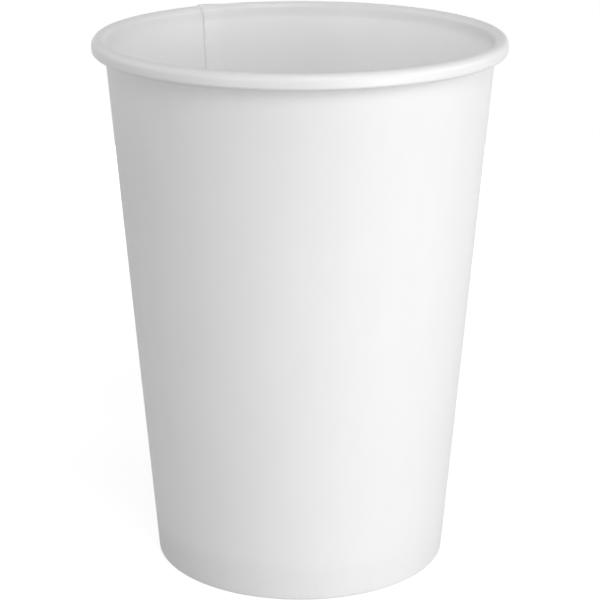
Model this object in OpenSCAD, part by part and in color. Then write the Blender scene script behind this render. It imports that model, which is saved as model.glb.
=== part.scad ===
// Single-wall paper cup: a rolled sheet with a curled brim, a lapped side seam and a turned-in hem
// that grips the skirt of a flanged paperboard bottom. Millimetres, +Z up, origin at the centre of
// the foot, on the surface that the cup stands on.

/* [Cup] */
// Height of the cup, from the foot to the top of the brim
cup_h = 118.5; // [80:0.5:180]
// Outer diameter of the brim
rim_d = 90; // [70:0.5:110]
// Outer diameter of the foot
base_d = 65.3; // [45:0.1:68]

/* [Sheet] */
// Thickness of the sidewall board
wall_t = 0.35; // [0.25:0.01:0.5]
// Direction of the raw edge inside the side seam, from +X
seam_a = 122.7; // [0:0.1:360]
// Angle over which the two ends of the sheet overlap
lap_a = 9.5; // [5:0.5:15]

/* [Brim] */
// Radius of the eye left open in the middle of the roll
brim_eye_r = 0.1; // [0.05:0.05:1]
// Straight drop on the outer side of the roll, from its round top to its tight lower corner
brim_drop = 1; // [0.1:0.1:2]
// Air between the turns of the roll
roll_gap = 0.05; // [0.02:0.01:0.3]
// How far the tucked end turns over, past the inner side of the roll
tuck_a = 60; // [10:5:90]

/* [Foot] */
// Gap between the raw edge of the turned-in hem and the underside of the bottom
hem_gap = 1.7; // [1:0.1:4]
// Inner radius of the fold at the foot
fold_in_r = 0.05; // [0.02:0.01:0.1]
// Clearance on each side of the skirt, inside the hem
skirt_fit = 0.02; // [0.01:0.01:0.05]

/* [Bottom] */
// Thickness of the bottom board
disc_t = 0.3; // [0.25:0.01:0.45]
// Height of the drinking side of the bottom over the foot
recess_h = 8.5; // [7:0.1:14]
// Inner radius where the bottom turns down into its skirt
flange_in_r = 0.4; // [0.2:0.05:0.8]
// Gap between the skirt's lower edge and the fold under it
skirt_gap = 0.5; // [0.2:0.1:1.5]

/* [Seam press] */
// Height over the bottom at which the pressed end of the seam starts to thicken
press_h = 1; // [0.5:0.5:5]
// Height over which the seam thickens to two full layers
press_run = 12; // [4:1:25]

/* [Hidden] */
$fn = 180;
paper = [0.95, 0.95, 0.94];
bottom_paper = [0.93, 0.93, 0.91];

// Largest turn of an outline between two points of an arc
arc_step = 15;
// Points of the wall where the seam thickens, and steps in which its layers change places
press_points = 6;
lap_steps = 8;

// Radii of the sheet's middle line in the brim: its tight turns leave the eye open inside a doubled
// seam, and its round top adds the two layers of the seam and the air between the turns
tuck_r = brim_eye_r + 1.5 * wall_t;
turn_gap = 2 * wall_t + roll_gap;
brim_r = tuck_r + turn_gap;
fold_r = fold_in_r + wall_t / 2;

// Centres of the brim's upper arc and of the fold's outer arc
brim_c = [rim_d / 2 - wall_t / 2 - brim_r, cup_h - wall_t / 2 - brim_r];
fold_c = [base_d / 2 - wall_t / 2 - fold_r, wall_t / 2 + fold_r];

// The wall's middle line touches both arcs, one on each side
span = brim_c - fold_c;
lean = atan2(span[0], span[1]) - asin((brim_r + fold_r) / norm(span));
wall_up = [sin(lean), cos(lean)];
wall_out = [cos(lean), -sin(lean)];
wall_foot = fold_c + fold_r * wall_out;
wall_len = span * wall_up;

// The hem runs inside the wall, with the skirt of the bottom between them
skirt_in = wall_t / 2 + skirt_fit + disc_t / 2;
hem_in = 2 * skirt_in;
land_len = (hem_in - 2 * fold_r) / wall_up[1];
hem_foot = fold_c - [land_len, 0] - fold_r * wall_out;
hem_len = (recess_h - disc_t - hem_gap - hem_foot[1]) / wall_up[1];
hem_edge = hem_foot + hem_len * wall_up;

// Height where the seam starts to thicken, and the lengths of wall below it and over the change
press_z = recess_h + press_h;
pressed_len = (press_z - wall_foot[1]) / wall_up[1];
change_len = press_run / wall_up[1];

// Centre of the arc where the bottom turns into its skirt, and the skirt's length below it
flange_r = flange_in_r + disc_t / 2;
flange_z = recess_h - disc_t / 2 - flange_r;
flange_x = (wall_foot * wall_out - skirt_in - flange_r + flange_z * wall_up[0]) / wall_up[1];
skirt_top = [flange_x, flange_z] + flange_r * wall_out;
skirt_len = (skirt_top[1] - wall_t - skirt_gap) / wall_up[1];

// Direction to the right of a heading
function right(a) = [sin(a), -cos(a)];

// A stroke is [length, 0] for a straight one, or [radius, turn] for an arc, left turns positive.
// Its points are [x, z, heading], without the one it starts from.
function stroke_points(from, s) =
    s[1] == 0
    ? [[from[0] + s[0] * cos(from[2]), from[1] + s[0] * sin(from[2]), from[2]]]
    : let (
        n = ceil(abs(s[1]) / arc_step),
        r = sign(s[1]) * s[0],
        c = [from[0], from[1]] - r * right(from[2])
    ) [
        for (i = [1:n])
            let (h = from[2] + s[1] * i / n, p = c + r * right(h))
            [p[0], p[1], h]
    ];

// Points of a path that starts at one point and follows a list of strokes
function path(from, strokes, i = 0) =
    i == len(strokes)
    ? [from]
    : let (p = stroke_points(from, strokes[i]))
    concat([from], [for (j = [0:1:len(p) - 2]) p[j]], path(p[len(p) - 1], strokes, i + 1));

// Middle line of the sidewall, from the raw edge of the hem to the raw edge inside the brim
sheet = path([hem_edge[0], hem_edge[1], 270 - lean], concat(
    [[hem_len, 0], [fold_r, 90 + lean], [land_len, 0], [fold_r, 90 - lean], [pressed_len, 0]],
    [for (i = [1:press_points]) [change_len / press_points, 0]],
    [
        [wall_len - pressed_len - change_len, 0],
        [brim_r, lean - 180], [brim_drop, 0],
        [tuck_r, -90], [turn_gap, 0], [tuck_r, -90],
        [brim_drop, 0], [tuck_r, -tuck_a]
    ]
));

// Middle line of the bottom, from the axis to the lower edge of its skirt
bottom = path([0, recess_h - disc_t / 2, 0], [[flange_x, 0], [flange_r, -90 - lean], [skirt_len, 0]]);

function reversed(v) = [for (i = [len(v) - 1:-1:0]) v[i]];

// How much of the seam's second layer shows at a height: none where it is pressed flush with the
// foot, all of it higher up
function seam_share(z) =
    let (x = max(0, min(1, (z - press_z) / press_run)))
    (1 - cos(180 * x)) / 2;

// A line to the right of a path, and further where the seam shows its second layer
function beside(line, d, second = 0) =
    [for (p = line) [p[0], p[1]] + (d + second * seam_share(p[1])) * right(p[2])];

// Closed section of a board around its middle line, with what a second layer adds to the outer
// and to the inner face
function board(line, t, outer = 0, inner = 0) =
    concat(beside(line, t / 2, outer), reversed(beside(line, -t / 2, -inner)));

// The lap of the side seam: where it starts, the second layer lies outside the sheet, and where
// it ends, inside
module seam_lap() {
    step_a = lap_a / lap_steps;
    for (i = [0:lap_steps - 1])
        let (inner = wall_t * i / (lap_steps - 1))
        rotate_extrude(start = i * step_a, angle = step_a)
        polygon(board(sheet, wall_t, wall_t - inner, inner));
}

// One sheet of board, rolled into a cone, lapped, hemmed and curled
module sidewall() {
    color(paper)
    rotate([0, 0, seam_a - lap_a]) {
        rotate_extrude(start = lap_a, angle = 360 - lap_a) polygon(board(sheet, wall_t));
        seam_lap();
    }
}

// Flat bottom with its edge turned down into a skirt
module bottom_disc() {
    color(bottom_paper)
    rotate_extrude() polygon(board(bottom, disc_t));
}

sidewall();
bottom_disc();
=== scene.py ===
import math

import bpy
import numpy as np
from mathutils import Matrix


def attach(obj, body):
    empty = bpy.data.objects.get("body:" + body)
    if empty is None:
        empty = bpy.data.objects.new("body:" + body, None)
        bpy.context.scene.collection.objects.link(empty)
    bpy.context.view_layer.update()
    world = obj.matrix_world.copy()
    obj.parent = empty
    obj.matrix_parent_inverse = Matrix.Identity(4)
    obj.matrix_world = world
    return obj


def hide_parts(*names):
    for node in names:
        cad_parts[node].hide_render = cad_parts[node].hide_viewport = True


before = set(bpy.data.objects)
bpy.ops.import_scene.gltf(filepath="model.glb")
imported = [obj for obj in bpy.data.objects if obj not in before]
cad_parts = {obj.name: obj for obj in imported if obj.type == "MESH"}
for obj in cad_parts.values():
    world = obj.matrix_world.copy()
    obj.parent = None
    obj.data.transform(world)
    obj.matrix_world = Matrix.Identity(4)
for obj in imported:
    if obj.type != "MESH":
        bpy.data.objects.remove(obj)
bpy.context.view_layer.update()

# Lengths are in millimetres up to where a mesh is made, and Blender's unit is the metre
MM = 0.001

# Height of the cup, and outer diameters of its brim and of its foot
CUP_H = 118.5
RIM_D = 90.0
BASE_D = 65.3

# Thickness of the sidewall board, direction of the raw edge inside the seam from +X in degrees, and
# the angle over which the two ends of the sheet overlap
WALL_T = 0.35
SEAM_A = 122.7
LAP_A = 9.5

# Brim: radius of the eye in the middle of the roll, straight drop on its sides, air between its
# turns, and how far the tucked end turns over
BRIM_EYE_R = 0.1
BRIM_DROP = 1.0
ROLL_GAP = 0.05
TUCK_A = 60.0

# Foot: gap between the hem's raw edge and the bottom, inner radius of the fold, and clearance on
# each side of the skirt inside the hem
HEM_GAP = 1.7
FOLD_IN_R = 0.05
SKIRT_FIT = 0.02

# Bottom: thickness of its board, height of its drinking side over the foot, inner radius of its
# corner, and gap between its skirt and the fold under it
DISC_T = 0.3
RECESS_H = 8.5
FLANGE_IN_R = 0.4
SKIRT_GAP = 0.5

# Seam: height over the bottom where its pressed end starts to thicken, and height of that change
PRESS_H = 1.0
PRESS_RUN = 12.0

# Width of a raw edge's cut in degrees round the cup, and how its two corners are rounded: shares
# of the width against shares of the board's thickness
CUT_A = 0.12
CUT_PROFILE = ((0.0, 0.0), (0.18, 0.55), (0.36, 0.86), (0.62, 0.97), (1.0, 1.0))

# The knurl that the forming wheel leaves on the inner face of the hem: how many ridges go round
# the cup, their depth, the heights between which they run, and the height over which they fade
KNURLS = 96
KNURL_DEPTH = 0.05
KNURL_LOW = 1.2
KNURL_HIGH = 5.6
KNURL_FADE = 0.6

# Fineness of the meshes: largest turn of an outline between two points, longest straight step on
# the wall and on the bottom, and steps along the other straight stretches
ARC_STEP = 9.0
WALL_STEP = 8.0
HEM_STEPS = 8
PRESSED_STEPS = 4
CHANGE_STEPS = 8
DROP_STEPS = 2
SKIRT_STEPS = 4

# Steps round the cup: across the lap, for each ridge of the knurl, and round the bottom
LAP_STEPS = 12
RINGS_PER_KNURL = 4
BOTTOM_RINGS = 240

# Angle between two faces, in degrees, above which their edge is sharp
SHARP_A = 40.0

# Places of a board's three materials in its mesh: its two faces, and its raw edge
FIRST_FACE, SECOND_FACE, RAW_EDGE = range(3)


def right_of(heading):
    """Unit vector to the right of a heading in degrees."""
    a = math.radians(heading)
    return np.array([math.sin(a), -math.cos(a)])


def along(heading):
    """Unit vector along a heading in degrees."""
    a = math.radians(heading)
    return np.array([math.cos(a), math.sin(a)])


def straight(length, steps=1):
    """A straight stroke of an outline."""
    return length, 0, steps


def arc(radius, turn):
    """A round stroke of an outline, with a left turn positive."""
    return radius, turn, math.ceil(abs(turn) / ARC_STEP)


def steps_of(length, step):
    """Number of equal steps in a length, none of them longer than the given step."""
    return max(1, math.ceil(length / step))


def trace(start, heading, strokes):
    """Rows of r, z and heading along the strokes of an outline."""
    rows = [(start[0], start[1], heading)]
    for size, turn, steps in strokes:
        here = np.array(rows[-1][:2])
        radius = math.copysign(size, turn)
        centre = here - radius * right_of(heading)
        for i in range(1, steps + 1):
            h = heading + turn * i / steps
            if turn:
                p = centre + radius * right_of(h)
            else:
                p = here + along(h) * size * i / steps
            rows.append((p[0], p[1], h))
        heading += turn
    return np.array(rows)


def ease(x):
    """Smooth step from 0 to 1."""
    return (1 - np.cos(np.pi * np.clip(x, 0, 1))) / 2


# Radii of the board's middle line in the roll of the brim and in the fold at the foot
tuck_r = BRIM_EYE_R + 1.5 * WALL_T
turn_gap = 2 * WALL_T + ROLL_GAP
brim_r = tuck_r + turn_gap
fold_r = FOLD_IN_R + WALL_T / 2

# The wall's middle line touches the brim's arc on one side and the fold's on the other
brim_c = np.array([RIM_D / 2 - WALL_T / 2 - brim_r, CUP_H - WALL_T / 2 - brim_r])
fold_c = np.array([BASE_D / 2 - WALL_T / 2 - fold_r, WALL_T / 2 + fold_r])
span = brim_c - fold_c
lean = math.degrees(math.atan2(span[0], span[1]) - math.asin((brim_r + fold_r) / np.hypot(*span)))
wall_up = along(90 - lean)
wall_out = right_of(90 - lean)
wall_foot = fold_c + fold_r * wall_out
wall_len = float(span @ wall_up)

# The hem runs inside the wall, with the skirt of the bottom between them
skirt_in = WALL_T / 2 + SKIRT_FIT + DISC_T / 2
hem_in = 2 * skirt_in
land_len = (hem_in - 2 * fold_r) / wall_up[1]
hem_foot = fold_c - np.array([land_len, 0]) - fold_r * wall_out
hem_len = (RECESS_H - DISC_T - HEM_GAP - hem_foot[1]) / wall_up[1]
hem_edge = hem_foot + hem_len * wall_up

# The seam's second layer is pressed flush below this height, and thickens over the change
press_z = RECESS_H + PRESS_H
pressed_len = (press_z - wall_foot[1]) / wall_up[1]
change_len = PRESS_RUN / wall_up[1]

# The bottom's corner, where it turns down into its skirt
flange_r = FLANGE_IN_R + DISC_T / 2
flange_z = RECESS_H - DISC_T / 2 - flange_r
flange_x = (wall_foot @ wall_out - skirt_in - flange_r + flange_z * wall_up[0]) / wall_up[1]
skirt_top = np.array([flange_x, flange_z]) + flange_r * wall_out
skirt_len = (skirt_top[1] - WALL_T - SKIRT_GAP) / wall_up[1]


def sheet_line():
    """Middle line of the sidewall, from the raw edge of its hem to the raw edge inside its brim."""
    upper_len = wall_len - pressed_len - change_len
    hem = [
        straight(hem_len, HEM_STEPS), arc(fold_r, 90 + lean),
        straight(land_len), arc(fold_r, 90 - lean),
    ]
    wall = [
        straight(pressed_len, PRESSED_STEPS),
        straight(change_len, CHANGE_STEPS),
        straight(upper_len, steps_of(upper_len, WALL_STEP)),
    ]
    brim = [
        arc(brim_r, lean - 180), straight(BRIM_DROP, DROP_STEPS),
        arc(tuck_r, -90), straight(turn_gap), arc(tuck_r, -90),
        straight(BRIM_DROP, DROP_STEPS), arc(tuck_r, -TUCK_A),
    ]
    return trace(hem_edge, 270 - lean, hem + wall + brim)


def bottom_line():
    """Middle line of the bottom, from the axis to the lower edge of its skirt."""
    return trace((0.0, RECESS_H - DISC_T / 2), 0, [
        straight(flange_x, steps_of(flange_x, WALL_STEP)),
        arc(flange_r, -90 - lean),
        straight(skirt_len, SKIRT_STEPS),
    ])


def cut_rings(start, rising):
    """Angles and heights of one raw edge, which rises from 0 to 1 or falls back from 1 to 0."""
    if rising:
        return [(start + x * CUT_A, y) for x, y in CUT_PROFILE]
    return [(start + (1 - x) * CUT_A, y) for x, y in reversed(CUT_PROFILE)]


def seam_rings():
    """Rings across the seam: the angle from its outer raw edge, and how far its outer and its inner
    face move outwards, as shares of the board's thickness."""
    inner_cut = LAP_A - CUT_A
    rings = [(a, rise, 0.0) for a, rise in cut_rings(0, True)]
    for i in range(1, LAP_STEPS):
        x = i / LAP_STEPS
        rings.append((CUT_A + (inner_cut - CUT_A) * x, 1 - ease(x), -ease(x)))
    rings += [(a, 0.0, -rise) for a, rise in cut_rings(inner_cut, False)]
    return rings


def all_rings():
    """Every ring round the sheet: its direction from +X in degrees, and both faces' moves."""
    start = SEAM_A - LAP_A
    seam = [(start + a, outer, inner) for a, outer, inner in seam_rings()]
    pitch = 360 / (KNURLS * RINGS_PER_KNURL)
    count = round((360 - LAP_A) / pitch)
    plain = [(SEAM_A + (360 - LAP_A) * i / count, 0.0, 0.0) for i in range(1, count)]
    return seam + plain


def knurl(height, direction):
    """Depth that the knurl presses into the hem's inner face at a height and a direction."""
    window = ease((height - KNURL_LOW) / KNURL_FADE) * ease((KNURL_HIGH - height) / KNURL_FADE)
    return KNURL_DEPTH * window * (0.5 + 0.5 * math.cos(math.radians(direction * KNURLS)))


def turned(section, direction):
    """Points of a section of r and z, at a direction round the cup in radians."""
    c, s = math.cos(direction), math.sin(direction)
    return np.column_stack([section[:, 0] * c, section[:, 0] * s, section[:, 1]])


def mesh_object(name, verts, faces, slots, materials):
    """An object of a mesh given in millimetres, with the place of each face's material."""
    mesh = bpy.data.meshes.new(name)
    mesh.from_pydata([tuple(v) for v in verts * MM], [], faces)
    for m in materials:
        mesh.materials.append(m)
    mesh.polygons.foreach_set("material_index", slots)
    mesh.polygons.foreach_set("use_smooth", [True] * len(faces))
    mesh.set_sharp_from_angle(angle=math.radians(SHARP_A))
    mesh.update()
    obj = bpy.data.objects.new(name, mesh)
    bpy.context.scene.collection.objects.link(obj)
    return obj


def rolled_sheet(materials):
    """The sidewall as one sheet: hem, fold, wall and rolled brim, lapped at the side seam."""
    line = sheet_line()
    normal = np.array([right_of(h) for h in line[:, 2]])
    share = ease((line[:, 1] - press_z) / PRESS_RUN)
    on_hem = np.arange(len(line)) <= HEM_STEPS
    rings = all_rings()
    verts = []
    for direction, outer_move, inner_move in rings:
        outer = WALL_T * (0.5 + outer_move * share)
        outer = outer - np.where(on_hem, knurl(line[:, 1], direction), 0)
        inner = WALL_T * (inner_move * share - 0.5)
        section = np.concatenate([
            line[:, :2] + normal * outer[:, None],
            (line[:, :2] + normal * inner[:, None])[::-1],
        ])
        verts.append(turned(section, math.radians(direction)))
    n = len(line)
    around = 2 * n
    faces, slots = [], []
    for k in range(len(rings)):
        a, b = k * around, (k + 1) % len(rings) * around
        for i in range(around):
            j = (i + 1) % around
            faces.append((a + i, b + i, b + j, a + j))
            raw = i in (n - 1, around - 1)
            slots.append(RAW_EDGE if raw else FIRST_FACE if i < n else SECOND_FACE)
    return mesh_object("rolled_sheet", np.concatenate(verts), faces, slots, materials)


def pressed_bottom(materials):
    """The flanged bottom, a flat disc with its edge turned down into a skirt."""
    line = bottom_line()[1:]
    normal = np.array([right_of(h) for h in line[:, 2]])
    section = np.concatenate([
        line[:, :2] - normal * DISC_T / 2,
        (line[:, :2] + normal * DISC_T / 2)[::-1],
    ])
    directions = np.radians(np.arange(BOTTOM_RINGS) * 360 / BOTTOM_RINGS)
    middles = [(0, 0, RECESS_H), (0, 0, RECESS_H - DISC_T)]
    verts = np.concatenate([turned(section, t) for t in directions] + [middles])
    n = len(line)
    around = len(section)
    top = BOTTOM_RINGS * around
    under = top + 1
    faces, slots = [], []
    for k in range(BOTTOM_RINGS):
        a, b = k * around, (k + 1) % BOTTOM_RINGS * around
        for i in range(around - 1):
            faces.append((a + i, a + i + 1, b + i + 1, b + i))
            slots.append(RAW_EDGE if i == n - 1 else FIRST_FACE if i < n else SECOND_FACE)
        faces.append((top, a, b))
        slots.append(FIRST_FACE)
        faces.append((under, b + around - 1, a + around - 1))
        slots.append(SECOND_FACE)
    return mesh_object("pressed_bottom", verts, faces, slots, materials)


# Board: how strongly it mirrors, how rough its coating is, and the share of light it lets through
BOARD_SPECULAR = 0.4
COAT_ROUGHNESS = 0.4
THROUGH = 0.2

# Its cloudy mottling and its fibre grain: about how many of each there are in a metre, the height of
# the grain in metres, and how the coordinates of both are scaled, which draws them out upwards
MOTTLE_SCALE = 170.0
GRAIN_SCALE = 2600.0
GRAIN_HEIGHT = 0.00003
STRETCH = (1.0, 1.0, 0.35)

# Values of the mottling's noise that give its darkest and its lightest tone
MOTTLE_FROM = 0.3
MOTTLE_TO = 0.7


def add_node(tree, kind, **inputs):
    """A new node, with some of its inputs set by name."""
    made = tree.nodes.new(kind)
    for name, value in inputs.items():
        made.inputs[name].default_value = value
    return made


def add_mix(tree, factor, first, second):
    """A shader that is the first where a socket gives 0, and the second where it gives 1."""
    mix = tree.nodes.new("ShaderNodeMixShader")
    tree.links.new(factor, mix.inputs[0])
    tree.links.new(first.outputs[0], mix.inputs[1])
    tree.links.new(second.outputs[0], mix.inputs[2])
    return mix


def mottled_color(tree, place, color, mottle):
    """Node whose vector is a color with faint darker clouds in it."""
    cloud = add_node(tree, "ShaderNodeTexNoise", Scale=MOTTLE_SCALE, Detail=5.0, Roughness=0.55)
    tree.links.new(place, cloud.inputs["Vector"])
    tone = tree.nodes.new("ShaderNodeMapRange")
    tone.inputs["From Min"].default_value = MOTTLE_FROM
    tone.inputs["From Max"].default_value = MOTTLE_TO
    tone.inputs["To Min"].default_value = 1.0 - mottle
    tone.inputs["To Max"].default_value = 1.0
    tree.links.new(cloud.outputs["Fac"], tone.inputs["Value"])
    tint = tree.nodes.new("ShaderNodeVectorMath")
    tint.operation = "SCALE"
    tint.inputs[0].default_value = color
    tree.links.new(tone.outputs["Result"], tint.inputs["Scale"])
    return tint


def fibre_grain(tree, place, grain):
    """Node whose normal has the fine grain of fibres."""
    fibre = add_node(tree, "ShaderNodeTexNoise", Scale=GRAIN_SCALE, Detail=3.0, Roughness=0.6)
    tree.links.new(place, fibre.inputs["Vector"])
    lift = add_node(tree, "ShaderNodeBump", Strength=grain, Distance=GRAIN_HEIGHT)
    tree.links.new(fibre.outputs["Fac"], lift.inputs["Height"])
    return lift


def board_material(name, color, roughness, mottle, grain, coat=0.0, through=0.0):
    """Paperboard: faint cloudy mottling in its color, a fine fibre grain, and light let through it."""
    m = bpy.data.materials.new(name)
    m.use_nodes = True
    tree = m.node_tree
    surface = tree.nodes["Principled BSDF"]
    surface.inputs["Roughness"].default_value = roughness
    surface.inputs["Specular IOR Level"].default_value = BOARD_SPECULAR
    surface.inputs["Coat Weight"].default_value = coat
    surface.inputs["Coat Roughness"].default_value = COAT_ROUGHNESS
    place = tree.nodes.new("ShaderNodeTexCoord")
    stretch = tree.nodes.new("ShaderNodeMapping")
    stretch.inputs["Scale"].default_value = STRETCH
    tree.links.new(place.outputs["Object"], stretch.inputs["Vector"])
    tint = mottled_color(tree, stretch.outputs["Vector"], color, mottle)
    tree.links.new(tint.outputs["Vector"], surface.inputs["Base Color"])
    lift = fibre_grain(tree, stretch.outputs["Vector"], grain)
    tree.links.new(lift.outputs["Normal"], surface.inputs["Normal"])

    # A face passes some light into the board, and from inside the board both faces are clear
    glow = tree.nodes.new("ShaderNodeBsdfTranslucent")
    tree.links.new(tint.outputs["Vector"], glow.inputs["Color"])
    face = add_node(tree, "ShaderNodeMixShader", Fac=through)
    tree.links.new(surface.outputs[0], face.inputs[1])
    tree.links.new(glow.outputs[0], face.inputs[2])
    clear = tree.nodes.new("ShaderNodeBsdfTransparent")
    geometry = tree.nodes.new("ShaderNodeNewGeometry")
    side = add_mix(tree, geometry.outputs["Backfacing"], face, clear)
    tree.links.new(side.outputs[0], tree.nodes["Material Output"].inputs["Surface"])
    return m


def outside_board():
    """The sheet's plain matt side, which is the outside of the cup."""
    return board_material("board_outside", (0.87, 0.87, 0.868), roughness=0.7, mottle=0.018, grain=0.25,
                          through=THROUGH)


def coated_board():
    """The sheet's coated side, which lines the cup and turns outwards over the brim."""
    return board_material("board_coated", (0.845, 0.845, 0.843), roughness=0.5, mottle=0.01, grain=0.12,
                          coat=0.6, through=THROUGH)


def cut_edge_and_painted_shade():
    """The board's raw edge: its fibre's own darker tone, deepened by painted shade of the seam's crevice.
    """
    return board_material("board_cut_and_painted_shade", (0.6, 0.6, 0.59), roughness=0.8, mottle=0.06, grain=0.6)


# Floor, as the share of light it returns and its own brightness: for light that goes on to the cup,
# and as it is seen; and its side in metres
FLOOR_LIGHT = (0.3, 0.0)
FLOOR_SEEN = (0.3, 0.82)
FLOOR_SIZE = 8


def mirror_or_camera(tree):
    """Output that is 1 for rays from the camera and for reflections, and 0 for diffuse light."""
    ray = tree.nodes.new("ShaderNodeLightPath")
    either = tree.nodes.new("ShaderNodeMath")
    either.operation = "MAXIMUM"
    tree.links.new(ray.outputs["Is Camera Ray"], either.inputs[0])
    tree.links.new(ray.outputs["Is Glossy Ray"], either.inputs[1])
    return either.outputs[0]


def white_floor():
    """Material of the floor: near white where it is seen or mirrored, with the cup's shadow in it."""
    m = bpy.data.materials.new("floor")
    m.use_nodes = True
    tree = m.node_tree
    tree.nodes.clear()
    out = tree.nodes.new("ShaderNodeOutputMaterial")
    shaders = []
    for tone, brightness in (FLOOR_LIGHT, FLOOR_SEEN):
        matt = add_node(tree, "ShaderNodeBsdfDiffuse", Color=(tone, tone, tone, 1))
        glow = add_node(tree, "ShaderNodeEmission", Color=(1, 1, 1, 1), Strength=brightness)
        both = tree.nodes.new("ShaderNodeAddShader")
        tree.links.new(matt.outputs[0], both.inputs[0])
        tree.links.new(glow.outputs[0], both.inputs[1])
        shaders.append(both)
    pick = add_mix(tree, mirror_or_camera(tree), *shaders)
    tree.links.new(pick.outputs[0], out.inputs["Surface"])
    return m


def studio():
    """Surroundings that are white to the camera and in reflections, and shed no light of their own."""
    world = bpy.data.worlds.new("studio")
    bpy.context.scene.world = world
    world.use_nodes = True
    tree = world.node_tree
    tree.nodes.clear()
    out = tree.nodes.new("ShaderNodeOutputWorld")
    dark = add_node(tree, "ShaderNodeBackground", Color=(0, 0, 0, 1), Strength=0.0)
    white = add_node(tree, "ShaderNodeBackground", Color=(1, 1, 1, 1), Strength=1.0)
    pick = add_mix(tree, mirror_or_camera(tree), dark, white)
    tree.links.new(pick.outputs[0], out.inputs["Surface"])


def aim(obj, target):
    """Turn an object's -Z axis to a point, with its X axis level."""
    away = np.array(obj.location) - np.array(target)
    flat = math.hypot(away[0], away[1])
    obj.rotation_euler = (math.atan2(flat, away[2]), 0, math.atan2(away[0], -away[1]))


def lamp_object(name, data, azimuth, distance, height, target):
    """Place a lamp round the cup and aim it; azimuth 0 is in front of the cup and 90 on its right."""
    lamp = bpy.data.objects.new(name, data)
    bpy.context.scene.collection.objects.link(lamp)
    a = math.radians(azimuth)
    lamp.location = (math.sin(a) * distance, -math.cos(a) * distance, height)
    aim(lamp, target)
    return lamp


def soft_light(name, azimuth, elevation, strength, angle):
    """A broad, far lamp, as wide as the angle it is seen under."""
    data = bpy.data.lights.new(name, "SUN")
    data.angle = math.radians(angle)
    data.energy = strength
    e = math.radians(elevation)
    lamp_object(name, data, azimuth, math.cos(e), math.sin(e), (0, 0, 0))


def low_box(name, azimuth, distance, width, height, power):
    """A soft box that stands on the floor close by, lower than the cup, so it lights only its outside."""
    data = bpy.data.lights.new(name, "AREA")
    data.shape = "RECTANGLE"
    data.size = width
    data.size_y = height
    data.energy = power
    lamp = lamp_object(name, data, azimuth, distance, height / 2, (0, 0, height / 2))
    lamp.visible_camera = False


# Light: a low box and two keys on the right, and softer lamps in front, on the left, behind and above
studio()
low_box("key_low", azimuth=40, distance=0.4, width=0.2, height=0.11, power=0.64)
soft_light("key", azimuth=70, elevation=15, strength=1.02, angle=30)
soft_light("key_side", azimuth=100, elevation=4, strength=0.58, angle=30)
soft_light("fill", azimuth=20, elevation=40, strength=1.12, angle=30)
soft_light("left", azimuth=-35, elevation=10, strength=1.0, angle=30)
soft_light("left_high", azimuth=-90, elevation=30, strength=0.81, angle=60)
low_box("back_low", azimuth=180, distance=0.4, width=0.3, height=0.11, power=0.64)
soft_light("top", azimuth=180, elevation=85, strength=0.39, angle=60)

# Camera, where the photograph was taken from: its focal length in pixels of a square frame, the
# width of its sensor in millimetres, and in metres its distance in front of the cup's axis, its
# height, its offset to the right, the height that it is aimed at and the nearest distance it shows
FRAME_PX = 600
FOCAL_PX = 2051.8
SENSOR_MM = 36.0
CAM_BACK = 0.43922
CAM_UP = 0.19736
CAM_RIGHT = -0.00005
AIM_H = 0.05828
NEAREST = 0.01
camera_data = bpy.data.cameras.new("camera")
camera_data.sensor_width = SENSOR_MM
camera_data.lens = FOCAL_PX / FRAME_PX * SENSOR_MM
camera_data.clip_start = NEAREST
camera = bpy.data.objects.new("camera", camera_data)
bpy.context.scene.collection.objects.link(camera)
camera.location = (CAM_RIGHT, -CAM_BACK, CAM_UP)
camera.rotation_euler = (math.atan2(CAM_BACK, CAM_UP - AIM_H), 0, 0)
bpy.context.scene.camera = camera
bpy.context.scene.view_settings.view_transform = "Standard"

# Floor
bpy.ops.mesh.primitive_plane_add(size=FLOOR_SIZE, location=(0, 0, 0))
floor = bpy.context.object
floor.name = "floor"
floor.data.materials.append(white_floor())

# The cup, in the place of its two solids
outside = outside_board()
coated = coated_board()
cut = cut_edge_and_painted_shade()

sidewall = rolled_sheet([outside, coated, cut])
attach(sidewall, "root")
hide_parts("sidewall")

bottom = pressed_bottom([coated, outside, cut])
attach(bottom, "root")
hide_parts("bottom_disc")
